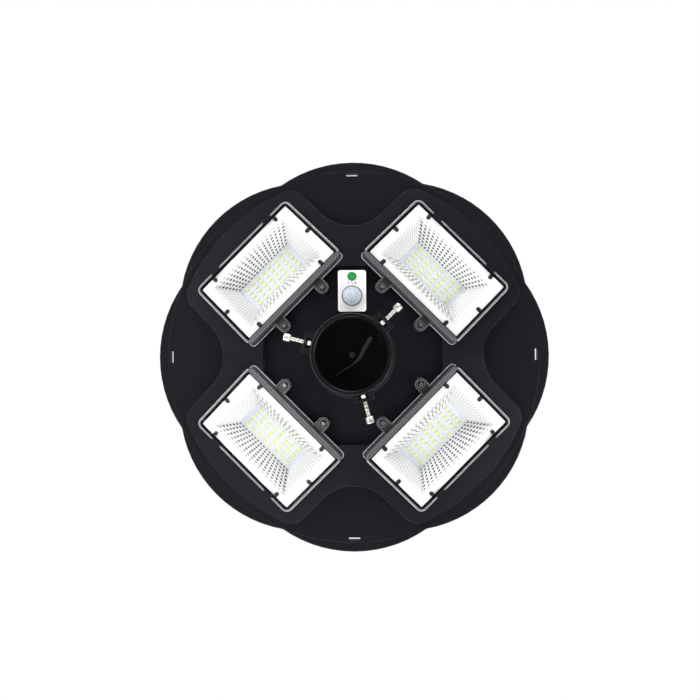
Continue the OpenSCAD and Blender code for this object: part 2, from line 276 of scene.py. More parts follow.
def material(name, color, roughness=0.5, **plain):
    """A Principled material with plain numbers on its sockets."""
    mat = bpy.data.materials.new(name)
    mat.use_nodes = True
    bsdf = shader(mat)[1]
    values = {"Base_Color": (*color, 1.0), "Roughness": roughness, **plain}
    for key, value in values.items():
        bsdf.inputs[key.replace("_", " ")].default_value = value
    mat.diffuse_color = (*color, 1.0)
    return mat


def add_grain(mat, scale, depth, low, high):
    """Puts the moulded grain on a material, as bump and as uneven roughness."""
    tree, bsdf = shader(mat)
    grain = tree.nodes.new("ShaderNodeGroup")
    grain.node_tree = GRAIN
    for name, value in (("Scale", scale), ("Rough low", low), ("Rough high", high)):
        grain.inputs[name].default_value = value
    bump = new_node(tree, "ShaderNodeBump", Height=grain.outputs["Height"], Distance=depth, Strength=0.6)
    tree.links.new(bump.outputs["Normal"], bsdf.inputs["Normal"])
    tree.links.new(grain.outputs["Roughness"], bsdf.inputs["Roughness"])
    return grain


def satin_black(name, color, low, high, gloss):
    mat = material(name, color, Specular_IOR_Level=gloss)
    add_grain(mat, 1400.0, 0.00006, low, high)
    return mat


HOUSING = satin_black("satin black housing", (0.0062, 0.007, 0.0095), 0.4, 0.5, 0.12)
COLLAR = satin_black("satin black collar", (0.005, 0.0053, 0.0062), 0.28, 0.36, 0.3)
# A glossier black for the rounded edges; its lighter colour is a painted highlight.
PAINTED_EDGE_HIGHLIGHT = satin_black("rounded black edge", (0.03, 0.032, 0.036), 0.25, 0.32, 0.8)
# A lighter, glossier copy of the collar's black for its side walls: painted light.
PAINTED_LIGHT_FLANK = satin_black("collar flank", (0.014, 0.015, 0.018), 0.3, 0.4, 0.5)
# A darker, duller copy of the collar's black for the inside of the bore: painted shade.
SOCKET = satin_black("dark socket", (0.0042, 0.0042, 0.0048), 0.6, 0.7, 0.08)
print("plastics:", HOUSING.name, COLLAR.name)

# %% [markdown]
# ## Softened mouldings
# A moulded part has no knife edges. Each housing part is copied from its construction mesh, its loose
# triangles are merged back into whole faces, and only the edges between a wall and a floor are rounded. The
# small pockets that the covers hide keep their plain corners. The rounded faces of the housing take a black
# of their own: its extra gloss is real, and its lighter colour is a painted highlight.

# %% Helper: copy a construction mesh and round its chosen edges
TILT = math.radians(12.0)
MODULE_R = 134.4 * MM
MODULE_Z = 61.0 * MM


def module_place(i):
    """The frame of one light module: x outwards along its slope, y sideways, z out of its face."""
    return (Matrix.Rotation(math.radians(-45.0 + 90.0 * i), 4, "Z")
            @ Matrix.Translation((MODULE_R, 0.0, MODULE_Z))
            @ Matrix.Rotation(-TILT, 4, "Y") @ Matrix.Rotation(math.pi, 4, "X"))


PLACES = [module_place(i) for i in range(4)]


def finish_mesh(name, mesh, mats, body=HEAD, slot=None, angle=32.0, stands_for=()):
    """Links a finished mesh at the origin, with its material, body and the nodes it stands for; the slot is
    not used.

    With several materials, each face keeps the number of its own.
    """
    obj = bpy.data.objects.new(name, mesh)
    scene.collection.objects.link(obj)
    if not isinstance(mats, tuple):
        mesh.materials.clear()
        mats = (mats,)
    for mat in mats:
        mesh.materials.append(mat)
    mesh.shade_smooth()
    mesh.set_sharp_from_angle(angle=math.radians(angle))
    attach(obj, body)
    if stands_for:
        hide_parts(*stands_for)
    return obj


def weigh_normals(obj):
    """Lets the large faces rule the shading, so a flat stays flat right up to its rounded edge."""
    mod = obj.modifiers.new("weigh", "WEIGHTED_NORMAL")
    mod.mode = "FACE_AREA"
    mod.weight = 100
    mod.keep_sharp = True
    bpy.context.view_layer.update()
    done = bpy.data.meshes.new_from_object(obj.evaluated_get(bpy.context.evaluated_depsgraph_get()))
    obj.modifiers.clear()
    old, obj.data = obj.data, done
    bpy.data.meshes.remove(old)
    done.name = obj.name


def whole_faces(node):
    """A construction mesh with its triangles merged back into whole faces."""
    bm = bmesh.new()
    bm.from_mesh(NODES[node].data)
    bmesh.ops.remove_doubles(bm, verts=bm.verts, dist=2e-6)
    bmesh.ops.dissolve_limit(bm, angle_limit=math.radians(0.6), verts=bm.verts, edges=bm.edges)
    bm.normal_update()
    return bm


def softened(name, node, width, chosen, mat, slot, segments=3, edge=None, **more):
    """A construction part with its chosen edges rounded, and the rounded faces in a material of their own if
    one is given: a painted highlight along the edges.
    """
    bm = whole_faces(node)
    edges = [e for e in bm.edges if len(e.link_faces) == 2 and e.calc_length() > 0.4 * MM and chosen(e)]
    bmesh.ops.bevel(bm, geom=edges, offset=width, offset_type="OFFSET", segments=segments, profile=0.5,
                    affect="EDGES", clamp_overlap=True, material=1)
    mesh = bpy.data.meshes.new(name)
    bm.to_mesh(mesh)
    bm.free()
    obj = finish_mesh(name, mesh, (mat, edge or mat), slot=slot, stands_for=(node,), **more)
    weigh_normals(obj)
    print(name, "rounded", len(edges), "edges,", len(obj.data.polygons), "faces")
    return obj


# %% Housing halves
RECESS_HALF = (52.5 * MM, 76.2 * MM, 8.0 * MM)


def in_module(p):
    """True inside the recess of any light module."""
    half_x, half_y, top = RECESS_HALF
    spots = [place.inverted() @ p for place in PLACES]
    return any(abs(q.x) < half_x and abs(q.y) < half_y and q.z < top for q in spots)


def wall_meets_floor(e):
    """Chooses the edges between a wall and a floor, outside the recesses and the collar's foot."""
    a, b = (abs(f.normal.z) for f in e.link_faces)
    if not (min(a, b) < 0.3 and max(a, b) > 0.9):
        return False
    mid = (e.verts[0].co + e.verts[1].co) / 2
    return not in_module(mid) and mid.z < RIM_Z + 3.5 * MM and mid.xy.length > 60 * MM


softened("housing_underside", "bottom_shell", 1.6 * MM, wall_meets_floor, HOUSING, "black_plastic",
         edge=PAINTED_EDGE_HIGHLIGHT)


def top_edge(e):
    return e.calc_face_angle(0.0) > math.radians(40.0) and e.verts[0].co.xy.length > 100 * MM


softened("housing_top", "top_shell", 0.8 * MM, top_edge, HOUSING, "black_plastic", edge=PAINTED_EDGE_HIGHLIGHT)


def collar_edge(e):
    mid = (e.verts[0].co + e.verts[1].co) / 2
    return e.calc_face_angle(0.0) > math.radians(50.0) and mid.z < 58 * MM and mid.xy.length > 39.5 * MM


BORE_R = 39.0 * MM
collar = softened("collar", "pole_collar", 0.5 * MM, collar_edge, COLLAR, "collar_plastic", segments=2,
                  edge=PAINTED_EDGE_HIGHLIGHT, angle=20.0)
# The collar's side walls take the painted light, and the faces inside the bore take the painted shade.
for mat in (PAINTED_LIGHT_FLANK, SOCKET):
    collar.data.materials.append(mat)
for face in collar.data.polygons:
    if face.center.xy.length < BORE_R:
        face.material_index = 3
    elif face.material_index == 0 and abs(face.normal.z) < 0.9:
        face.material_index = 2

# %% [markdown]
# ## Turned parts
# Screws, nuts, the button and the sensor's dome are turned shapes, but a hexagon socket, a knurl or a cross
# recess isn't round. So one helper lays rings of points whose radius may change with the angle, and
# stitches them up.

# %% Helper: rings of points stitched into a closed part
RING = 48


def hex_ring(across, limit=1.0):
    """Radius of a hexagon of a given width across its flats, cut back to a circle at its corners."""
    half = across / 2
    step = math.pi / 3

    def radius(t):
        return min(half / math.cos((t + step / 2) % step - step / 2), limit)
    return radius


def knurl_ring(r, depth, count):
    return lambda t: r - depth * (0.5 + 0.5 * math.cos(count * t))


def cross_ring(reach, half_width):
    """Radius of a plus sign with arms of a given reach."""
    def radius(t):
        u = abs((t + math.pi / 4) % (math.pi / 2) - math.pi / 4)
        return min(reach, half_width / max(math.sin(u), 0.02))
    return radius


def ring_part(rings, count=RING, bright=(), through=False):
    """A closed mesh from (radius, height) rings; a radius is a number, or a function of the angle.

    The bands listed as bright take the second material; the last cap counts as the last band. With a way
    through, the last ring joins the first and there are no caps.
    """
    bm = bmesh.new()
    turn = [2 * math.pi * k / count for k in range(count)]
    loops = []
    for radius, z in rings:
        reach = [radius(t) if callable(radius) else radius for t in turn]
        loops.append([bm.verts.new((r * math.cos(t), r * math.sin(t), z)) for r, t in zip(reach, turn)])
    pairs = list(zip(loops, loops[1:])) + ([(loops[-1], loops[0])] if through else [])
    for band, (low_loop, high_loop) in enumerate(pairs):
        for k in range(count):
            n = (k + 1) % count
            face = bm.faces.new((low_loop[k], low_loop[n], high_loop[n], high_loop[k]))
            face.material_index = int(band in bright)
    for band, loop in () if through else ((-1, loops[0]), (len(pairs), loops[-1])):
        middle = bm.verts.new((0.0, 0.0, loop[0].co.z))
        for k in range(count):
            face = bm.faces.new((middle, loop[k], loop[(k + 1) % count]))
            face.material_index = int(band in bright)
    bmesh.ops.recalc_face_normals(bm, faces=bm.faces)
    return bm


def as_bmesh(mesh):
    bm = bmesh.new()
    bm.from_mesh(mesh)
    return bm


def joined(name, parts):
    """One mesh from (bmesh, matrix) pairs."""
    whole = bmesh.new()
    for part, place in parts:
        mesh = bpy.data.meshes.new("part")
        part.to_mesh(mesh)
        mesh.transform(place)
        whole.from_mesh(mesh)
        bpy.data.meshes.remove(mesh)
    mesh = bpy.data.meshes.new(name)
    whole.to_mesh(mesh)
    whole.free()
    return mesh


def piece(name, parts, mats, **more):
    """Joins (bmesh, matrix) pairs into one mesh and finishes it."""
    mesh = joined(name, parts)
    finish_mesh(name, mesh, mats, **more)
    print(name, len(mesh.polygons), "faces")


# %% Steel finish


def steel(name, color, low, high):
    mat = material(name, color, Metallic=1.0)
    add_grain(mat, 2600.0, 0.00003, low, high)
    return mat


STEEL = steel("bright zinc steel", (0.8, 0.77, 0.71), 0.24, 0.36)
# The nut's pale zinc colour is its own. Its glow is painted light, because a nut is no lamp.
PAINTED_GLOW_NUT = material("pale zinc plate", (0.97, 0.96, 0.94), 0.3, Emission_Color=(1.0, 0.99, 0.97, 1.0),
                     Emission_Strength=0.8)
DULL_STEEL = material("dull steel", (0.035, 0.037, 0.042), 0.4)
DARK_STEEL = steel("blackened steel", (0.045, 0.045, 0.048), 0.3, 0.42)
print("steels:", ", ".join(mat.name for mat in (STEEL, PAINTED_GLOW_NUT, DULL_STEEL, DARK_STEEL)))

# %% [markdown]
# ## Clamp screws
# Three socket screws hold the pole. The thread is what the eye checks first, so it is real: Geometry Nodes
# wind a spiral curve round the core and sweep a three-sided profile along it. The pitch of this size is 0.8
# mm.

# %% Thread tree
CLAMP_ANGLES = (-45.0, -165.0, -285.0)
CLAMP_Z = 13 * MM
TIP_R = 39 * MM
SHANK_L = 27 * MM
BACKED_OFF = (0.0, 1.5 * MM, 2.5 * MM)
SHANK_R = 2.5 * MM
PITCH = 0.8 * MM


def geometry_tree(name, *inputs):
    """A Geometry Nodes tree that makes a mesh; a material is always the last input."""
    inputs = inputs + (("Material", "Material", None),)
    return group_tree(name, "GeometryNodeTree", inputs, (("Geometry", "Geometry"),))


def end_tree(tree, inp, outp, geometry):
    """Realizes the instances, gives them the material and sends them out."""
    real = new_node(tree, "GeometryNodeRealizeInstances", Geometry=geometry)
    paint = new_node(tree, "GeometryNodeSetMaterial", Geometry=real.outputs[0],
                     Material=inp.outputs["Material"])
    tree.links.new(paint.outputs[0], outp.inputs[0])
    return tree


def run_tree(tree, **values):
    """Runs a geometry tree on an empty object and returns the plain mesh it makes."""
    holder = bpy.data.objects.new("holder", bpy.data.meshes.new("holder"))
    scene.collection.objects.link(holder)
    mod = holder.modifiers.new("tree", "NODES")
    mod.node_group = tree
    for item in tree.interface.items_tree:
        if item.item_type == "SOCKET" and item.in_out == "INPUT" and item.name.replace(" ", "_") in values:
            mod[item.identifier] = values[item.name.replace(" ", "_")]
    bpy.context.view_layer.update()
    done = bpy.data.meshes.new_from_object(holder.evaluated_get(bpy.context.evaluated_depsgraph_get()))
    bpy.data.objects.remove(holder)
    return done


def thread_tree():
    tree, inp, outp = geometry_tree(
        "screw thread", ("Radius", "Float", SHANK_R), ("Length", "Float", SHANK_L), ("Pitch", "Float", PITCH),
        ("Depth", "Float", 0.32 * MM))
    size = inp.outputs
    middle = maths(tree, "SUBTRACT", size["Radius"], size["Depth"])
    turns = maths(tree, "DIVIDE", size["Length"], size["Pitch"])
    spiral = new_node(tree, "GeometryNodeCurveSpiral", Resolution=28, Rotations=turns, Start_Radius=middle,
                      End_Radius=middle, Height=size["Length"])
    profile = new_node(tree, "GeometryNodeCurvePrimitiveCircle", Resolution=3, Radius=size["Depth"])
    sweep = new_node(tree, "GeometryNodeCurveToMesh", Curve=spiral.outputs[0],
                     Profile_Curve=profile.outputs[0], Fill_Caps=True)
    return end_tree(tree, inp, outp, sweep.outputs[0])


THREAD = run_tree(thread_tree(), Material=STEEL, Length=SHANK_L - 2.2 * MM)
print("thread:", len(THREAD.polygons), "faces")

# %% Clamp screws and nuts
HEAD_R = 4.25 * MM
HEAD_H = 7.4 * MM
NUT_AT = 44.8 * MM


def clamp_screw():
    """The core and the knurled head; the thread is wound round the core."""
    core = [(1.5 * MM, 0.0), (SHANK_R - 0.45 * MM, 0.6 * MM),
            (SHANK_R - 0.45 * MM, SHANK_L)]
    foot, top = SHANK_L, SHANK_L + HEAD_H
    knurl = knurl_ring(HEAD_R, 0.22 * MM, 24)
    head = [(HEAD_R - 0.5 * MM, foot), (HEAD_R, foot + 0.35 * MM),
            (knurl, foot + 0.7 * MM), (knurl, top - 1.0 * MM), (HEAD_R, top - 0.65 * MM),
            (HEAD_R - 0.25 * MM, top - 0.15 * MM), (HEAD_R - 0.7 * MM, top),
            (hex_ring(4.4 * MM), top), (hex_ring(4.1 * MM), top - 0.35 * MM),
            (hex_ring(4.1 * MM), foot + 3.9 * MM), (0.8 * MM, foot + 3.7 * MM)]
    return ring_part(core), ring_part(head, 96)


def nut():
    """A hexagon nut with its hole."""
    flats = hex_ring(8.0 * MM, 4.6 * MM)
    hole = 2.58 * MM
    return ring_part([(hex_ring(8.0 * MM, 4.3 * MM), 0.0), (flats, 0.45 * MM), (flats, 3.55 * MM),
                      (hex_ring(7.6 * MM, 4.1 * MM), 4.0 * MM), (hole, 4.0 * MM), (hole, 0.0)], through=True)


def radial(angle, r):
    """A place r from the axis at the screws' height, with z pointing outwards."""
    return (Matrix.Rotation(math.radians(angle), 4, "Z") @ Matrix.Translation((r, 0.0, CLAMP_Z))
            @ Matrix.Rotation(math.pi / 2, 4, "Y"))


core, head = clamp_screw()
thread = as_bmesh(THREAD)
nut_shape = nut()
for number, (angle, back) in enumerate(zip(CLAMP_ANGLES, BACKED_OFF), 1):
    place = radial(angle, TIP_R + back)
    wound = place @ Matrix.Translation((0.0, 0.0, 1.0 * MM))
    screw = "clamp_screw_%d" % number
    piece(screw + "_finished", ((core, place), (head, place), (thread, wound)), STEEL, body=screw,
          slot="steel", angle=28.0, stands_for=(screw,))
    mesh = joined("clamp_nut_%d_finished" % number, ((nut_shape, radial(angle, NUT_AT)),))
    # Only the faces turned down take the glowing pale zinc. The other faces take blackened steel, which is
    # painted shade in the nut's pocket.
    for face in mesh.polygons:
        face.material_index = int(face.normal.z < -0.95)
    finish_mesh(mesh.name, mesh, (DARK_STEEL, PAINTED_GLOW_NUT), slot="steel", stands_for=("clamp_nut_%d" % number,))
print("clamp screws and nuts:", len(CLAMP_ANGLES), "of each")

# %% [markdown]
# ## Hammered reflectors
# Each light sits in a bright tray whose four sloping walls are pressed into small pillows, so that every
# pillow sends back its own picture of the chips. The walls are grids of pillows between the tray's mouth
# and its foot, laid on the plain tray of the construction. Each pillow also keeps its own place in a UV
# map, which paints reflections into its colour: a dark dot in its middle, where a camera would see the dark
# housing mirrored in it, and on the wall that faces the collar olive streaks, which are painted reflection
# too.

# %% Reflector walls
REFL_X = 1.8 * MM
MOUTH = (66.6 * MM / 2, 115.2 * MM / 2, -0.25 * MM)
FOOT = (32.2 * MM / 2, 79.0 * MM / 2, -23.8 * MM)
PILLOW = 0.42 * MM
CUTS = 4
ROWS = 8


def corner(level, sx, sy):
    return Vector((level[0] * sx + REFL_X, level[1] * sy, level[2]))


def hammered_wall(bm, uv, dots, a, b, columns, strength):
    """Pillows between two mouth corners a, b (as signs), and the foot corners under them.

    A strength over 0 asks for painted reflection dots on the pillows, one under 0 for painted reflection
    streaks. Both grow from the mouth down.
    """
    top_a, top_b = corner(MOUTH, *a), corner(MOUTH, *b)
    low_a, low_b = corner(FOOT, *a), corner(FOOT, *b)
    out = (top_b - top_a).cross(low_a - top_a).normalized()
    if out.z < 0:
        out.negate()
    nu, nv = columns * CUTS, ROWS * CUTS
    grid = []
    for j in range(nv + 1):
        row = []
        for i in range(nu + 1):
            u, v = i / nu, j / nv
            p = (top_a.lerp(top_b, u)).lerp(low_a.lerp(low_b, u), v)
            fu, fv = (i % CUTS) / CUTS, (j % CUTS) / CUTS
            swell = 16 * fu * (1 - fu) * fv * (1 - fv)
            row.append(bm.verts.new(p + out * (PILLOW * swell ** 0.7 + 0.05 * MM)))
        grid.append(row)
    for j in range(nv):
        for i in range(nu):
            face = bm.faces.new((grid[j][i], grid[j + 1][i], grid[j + 1][i + 1], grid[j][i + 1]))
            for loop, (di, dj) in zip(face.loops, ((0, 0), (0, 1), (1, 1), (1, 0))):
                down = (j + dj) / nv
                loop[uv].uv = ((i + di) / CUTS, (j + dj) / CUTS)
                loop[dots] = strength * min(1.0, 0.12 + 3.2 * down if strength > 0 else 0.4 + 2.0 * down)


def reflector_mesh():
    bm = bmesh.new()
    uv = bm.loops.layers.uv.new("pillows")
    dots = bm.loops.layers.float.new("dots")
    hammered_wall(bm, uv, dots, (1, -1), (1, 1), 17, 1.0)
    hammered_wall(bm, uv, dots, (-1, 1), (-1, -1), 17, -1.0)
    hammered_wall(bm, uv, dots, (1, 1), (-1, 1), 15, 0.5)
    hammered_wall(bm, uv, dots, (-1, -1), (1, -1), 15, 0.5)
    bmesh.ops.remove_doubles(bm, verts=bm.verts, dist=1e-6)
    bm.normal_update()
    flip = [f for f in bm.faces if f.normal.z < 0]
    bmesh.ops.reverse_faces(bm, faces=flip)
    return bm


# %% Reflector finish


def pillow_group():
    """Shader group of painted reflections: dark dots in the middle of pillows, or wavy streaks down the wall,
    by the strength's sign.
    """
    tree, inp, outp = group_tree("pillow shade", "ShaderNodeTree",
                                 (("Map", "Vector", None), ("Strength", "Float", 0.0)),
                                 (("Dots", "Float"), ("Streaks", "Float")))
    split = new_node(tree, "ShaderNodeSeparateXYZ", Vector=inp.outputs["Map"])
    u, v = split.outputs["X"], split.outputs["Y"]
    strength = inp.outputs["Strength"]

    def centred(value):
        return maths(tree, "SUBTRACT", maths(tree, "FRACT", value), 0.5)

    squares = [maths(tree, "POWER", maths(tree, "ABSOLUTE", centred(x)), 2.0) for x in (u, v)]
    far = maths(tree, "SQRT", maths(tree, "ADD", *squares))
    dots = maths(tree, "MULTIPLY", ramp(tree, far, 0.34, 0.22), maths(tree, "MAXIMUM", strength, 0.0))
    wave = maths(tree, "MULTIPLY", maths(tree, "SINE", maths(tree, "MULTIPLY", v, 1.9)), 0.14)
    line = maths(tree, "ABSOLUTE", centred(maths(tree, "ADD", u, wave)))
    weak = maths(tree, "MAXIMUM", maths(tree, "MULTIPLY", strength, -1.0), 0.0)
    streaks = maths(tree, "MULTIPLY", ramp(tree, line, 0.36, 0.1), weak)
    tree.links.new(dots, outp.inputs["Dots"])
    tree.links.new(streaks, outp.inputs["Streaks"])
    return tree


PILLOW_REFLECTIONS = pillow_group()
BRIGHT = (0.97, 0.975, 0.985)
print("pillow group:", len(PILLOW_REFLECTIONS.nodes), "nodes")


def bright_reflector():
    mat = material("bright hammered reflector", BRIGHT, 0.22)
    tree, bsdf = shader(mat)
    uv = tree.nodes.new("ShaderNodeUVMap")
    uv.uv_map = "pillows"
    strength = tree.nodes.new("ShaderNodeAttribute")
    strength.attribute_name = "dots"
    group = tree.nodes.new("ShaderNodeGroup")
    group.node_tree = PILLOW_REFLECTIONS
    set_input(tree, group.inputs["Map"], uv.outputs[0])
    set_input(tree, group.inputs["Strength"], strength.outputs["Fac"])
    # The dark dots and the olive streaks paint reflections into the bright metal's colour.
    dotted = mixed(tree, group.outputs["Dots"], BRIGHT, (0.02, 0.022, 0.024))
    streaked = mixed(tree, group.outputs["Streaks"], dotted, (0.36, 0.37, 0.28))
    set_input(tree, bsdf.inputs["Base Color"], streaked)
    return mat


TRAY = bright_reflector()
walls = reflector_mesh()
for number, place in enumerate(PLACES, 1):
    bm = walls.copy()
    bmesh.ops.transform(bm, matrix=place, verts=bm.verts)
    tray_mesh = bpy.data.meshes.new("reflector_%d_finished" % number)
    bm.from_mesh(NODES["reflector_%d" % number].data)
    bm.to_mesh(tray_mesh)
    bm.free()
    finish_mesh(tray_mesh.name, tray_mesh, TRAY, slot="reflector", angle=24.0,
                stands_for=("reflector_%d" % number,))
print("reflector walls:", len(walls.faces), "faces each")

# %% [markdown]
# ## Light chips
# Forty small chips stand in five rows of eight on each pale board. Geometry Nodes place them: a grid gives
# the points, and one tree is run three times, for the white cases, for the yellow phosphor and for the
# solder pads.

# %% Chip grid tree
COLUMNS, LINES = 8, 5
PITCH_Y, PITCH_X = 9.0 * MM, 5.9 * MM
BOARD_N = -24 * MM


def grid_points(tree, inp, along_x, along_y):
    """A grid of points, from the names of the inputs that give the count and the pitch each way."""
    values = {}
    for axis, (count, pitch) in (("X", along_x), ("Y", along_y)):
        gaps = maths(tree, "SUBTRACT", inp.outputs[count], 1.0)
        values["Size_" + axis] = maths(tree, "MULTIPLY", gaps, inp.outputs[pitch])
        values["Vertices_" + axis] = inp.outputs[count]
    return new_node(tree, "GeometryNodeMeshGrid", **values).outputs["Mesh"]


def shapes_on(tree, inp, points, **more):
    """The model of the Shape input on each point."""
    model = new_node(tree, "GeometryNodeObjectInfo", Object=inp.outputs["Shape"])
    return new_node(tree, "GeometryNodeInstanceOnPoints", Points=points, Instance=model.outputs["Geometry"],
                    **more).outputs[0]


def grid_tree():
    tree, inp, outp = geometry_tree(
        "rows on a board", ("Shape", "Object", None), ("Columns", "Int", COLUMNS), ("Lines", "Int", LINES),
        ("Pitch along", "Float", PITCH_Y), ("Pitch across", "Float", PITCH_X), ("Wander", "Float", 0.0),
        ("Seed", "Int", 7))
    wander = inp.outputs["Wander"]
    turn = new_node(tree, "FunctionNodeRandomValue", Seed=inp.outputs["Seed"])
    turn.data_type = "FLOAT"
    least, most = [socket for socket in turn.inputs if socket.type == "VALUE" and socket.enabled][:2]
    set_input(tree, least, maths(tree, "MULTIPLY", wander, -1.0))
    set_input(tree, most, wander)
    spin = new_node(tree, "ShaderNodeCombineXYZ", Z=[socket for socket in turn.outputs if socket.enabled][0])
    points = grid_points(tree, inp, ("Lines", "Pitch across"), ("Columns", "Pitch along"))
    return end_tree(tree, inp, outp, shapes_on(tree, inp, points, Rotation=spin.outputs[0]))


GRID = grid_tree()
print("grid tree:", len(GRID.nodes), "nodes")

# %% Chips, phosphor and pads


def eased_box(w, l, h, z, ease):
    """A box w by l by h with eased edges, standing on height z."""
    bm = bmesh.new()
    place = Matrix.Translation((0, 0, z + h / 2)) @ Matrix.Diagonal((w, l, h, 1))
    bmesh.ops.create_cube(bm, size=1.0, matrix=place)
    if ease:
        bmesh.ops.bevel(bm, geom=bm.edges[:], offset=ease, segments=2, profile=0.5, affect="EDGES")
    return bm


def laid_out(tree, shape, **values):
    """Runs a tree on a model of one shape; returns all its copies as one bmesh."""
    model_mesh = bpy.data.meshes.new("model")
    shape.to_mesh(model_mesh)
    shape.free()
    model = bpy.data.objects.new("model", model_mesh)
    scene.collection.objects.link(model)
    copies = run_tree(tree, Shape=model, **values)
    bpy.data.objects.remove(model)
    return as_bmesh(copies)


CASE = material("white chip case", (0.88, 0.88, 0.84), 0.35)
PHOSPHOR = material("yellow phosphor", (0.88, 0.94, 0.42), 0.4)
SOLDER = material("solder", (0.75, 0.76, 0.78), 0.3, Metallic=1.0)
SHAPES = (("chip_cases", eased_box(4.1 * MM, 4.9 * MM, 0.8 * MM, 0.05 * MM, 0.12 * MM), CASE),
          ("chip_phosphor", eased_box(3.6 * MM, 4.4 * MM, 0.3 * MM, 0.62 * MM, 0.1 * MM), PHOSPHOR),
          ("chip_pads", eased_box(2.6 * MM, 5.4 * MM, 0.1 * MM, 0.0, 0.0), SOLDER))
for name, shape, mat in SHAPES:
    rows = laid_out(GRID, shape, Material=mat, Wander=0.012)
    lift = Matrix.Translation((REFL_X, 0.0, BOARD_N))
    piece(name, [(rows, place @ lift) for place in PLACES], mat, slot="led_board")

# %% [markdown]
# ## Clear covers
# Each cover is a clear window in a frosted frame. The frame is a loft: the same rounded outline is drawn
# again and again, each time a little further in or up. Every outline carries a number from dark to light,
# which paints light and shade into the frame's colour: the edge of a clear moulding gathers light and shows
# as a pale line round a grey band, so the pale lines are painted highlights and the dark lines painted shade.

# %% Lofted outlines
COVER_L, COVER_W = 146.4 * MM, 94.8 * MM
TAB_X = -58.6 * MM
TAB_Y = 30.2 * MM


def outline(l, w, r, inset, z, at=(0.0, 0.0), per=6):
    """A rounded rectangle, w along x and l along y, drawn some way inside its edge."""
    x, y, r2 = w / 2 - inset, l / 2 - inset, max(r - inset, 0.2 * MM)
    points = []
    for sx, sy, start in ((1, 1, 0), (-1, 1, 90), (-1, -1, 180), (1, -1, 270)):
        for k in range(per + 1):
            t = math.radians(start + 90.0 * k / per)
            points.append((at[0] + sx * (x - r2) + r2 * math.cos(t),
                           at[1] + sy * (y - r2) + r2 * math.sin(t), z))
    return points


def tongue(r, reach, inset, z, at, per=16):
    """A half circle with straight sides that run out along +x."""
    points = [(at[0] + reach, at[1] + (r - inset), z)]
    for k in range(per + 1):
        t = math.radians(90.0 + 180.0 * k / per)
        points.append((at[0] + (r - inset) * math.cos(t), at[1] + (r - inset) * math.sin(t), z))
    points.append((at[0] + reach, at[1] - (r - inset), z))
    return points


def loft(rows, ring=False):
    """A closed mesh through (points, shade) rows: a ring if its last row joins its first, else capped.

    A shade is a number, or a function of the point.
    """
    bm = bmesh.new()
    shade = bm.loops.layers.float.new("edge")
    loops = [([bm.verts.new(p) for p in points], value if callable(value) else (lambda co, v=value: v))
             for points, value in rows]
    pairs = list(zip(loops, loops[1:]))
    if ring:
        pairs.append((loops[-1], loops[0]))
    for (low_loop, low_shade), (high_loop, high_shade) in pairs:
        n = len(low_loop)
        for k in range(n):
            m = (k + 1) % n
            face = bm.faces.new((low_loop[k], low_loop[m], high_loop[m], high_loop[k]))
            for loop, value in zip(face.loops, (low_shade, low_shade, high_shade, high_shade)):
                loop[shade] = value(loop.vert.co)
    if not ring:
        for loop, value in (loops[0], loops[-1]):
            face = bm.faces.new(loop)
            for corner_loop in face.loops:
                corner_loop[shade] = value(corner_loop.vert.co)
    bmesh.ops.recalc_face_normals(bm, faces=bm.faces)
    return bm


def outlines(l, w, r, rows, at=(0.0, 0.0)):
    """Rows for a loft of one outline, from (inset, height, shade) in millimetres."""
    return [(outline(l, w, r, inset * MM, z * MM, at), shade) for inset, z, shade in rows]


# %% Frosted finish


def frosted():
    """Paints light and shade: the loft's numbers go from black to pale, broken up by the grain."""
    mat = material("frosted clear frame", (0.12, 0.125, 0.14), 0.3)
    tree, bsdf = shader(mat)
    grain = add_grain(mat, 700.0, 0.00008, 0.22, 0.4)
    edge = tree.nodes.new("ShaderNodeAttribute")
    edge.attribute_name = "edge"
    mottle = maths(tree, "ADD", maths(tree, "MULTIPLY", grain.outputs["Height"], 1.7), 0.2)
    shade = maths(tree, "MULTIPLY", edge.outputs["Fac"], mottle)
    set_input(tree, bsdf.inputs["Base Color"], mixed(tree, shade, (0.006, 0.0065, 0.008), (0.72, 0.73, 0.78)))
    return mat


FROSTED_PAINTED_FRAME = frosted()
CLEAR = material("clear cover", (0.02, 0.02, 0.02), 0.04, Alpha=0.05)
print("covers:", FROSTED_PAINTED_FRAME.name, "and", CLEAR.name)

# %% Cover frames, tabs and windows
CORNER_R = 7.5 * MM
TAB_R = 7.0 * MM
TAB_REACH = 11.0 * MM
EYE_R = 4.7 * MM


def two_sided(outer, inner):
    """One painted light value round most of the frame, another along the side that faces the collar, where
    light and shade fall differently.
    """
    return lambda co: inner if co.x < -COVER_W / 2 + 4.5 * MM else outer


def cover_frame():
    # Each row: inset and height in millimetres, then the painted light round most of the frame and along the
    # collar side; pale values are painted highlights on rounded edges, low values painted shade.
    rows = [(0.0, -7.0, 0.05, 0.05), (0.0, -1.0, 0.06, 0.1), (0.0, 1.6, 0.1, 0.08), (0.1, 2.05, 0.7, 0.12),
            (0.3, 2.35, 1.0, 0.12), (0.65, 2.5, 0.9, 0.1), (0.75, 2.4, 0.01, 0.09), (1.3, 2.4, 0.01, 0.09),
            (1.4, 2.5, 0.5, 0.16), (2.0, 2.5, 0.5, 0.18), (2.1, 2.4, 0.01, 0.14), (2.8, 2.4, 0.0, 0.06),
            (3.0, 2.3, 0.0, 0.02), (3.1, 1.0, 0.0, 0.0), (2.5, 0.6, 0.0, 0.0), (2.5, -7.0, 0.0, 0.0)]
    rows = [(inset, z, two_sided(outer, inner)) for inset, z, outer, inner in rows]
    return loft(outlines(COVER_L, COVER_W, CORNER_R, rows), ring=True)


def cover_strip(l, w, x, rows):
    """A narrow strip that runs along the side facing the collar, with its middle at x."""
    return loft(outlines(l, w, w / 2, rows, at=(x, 0.0)))


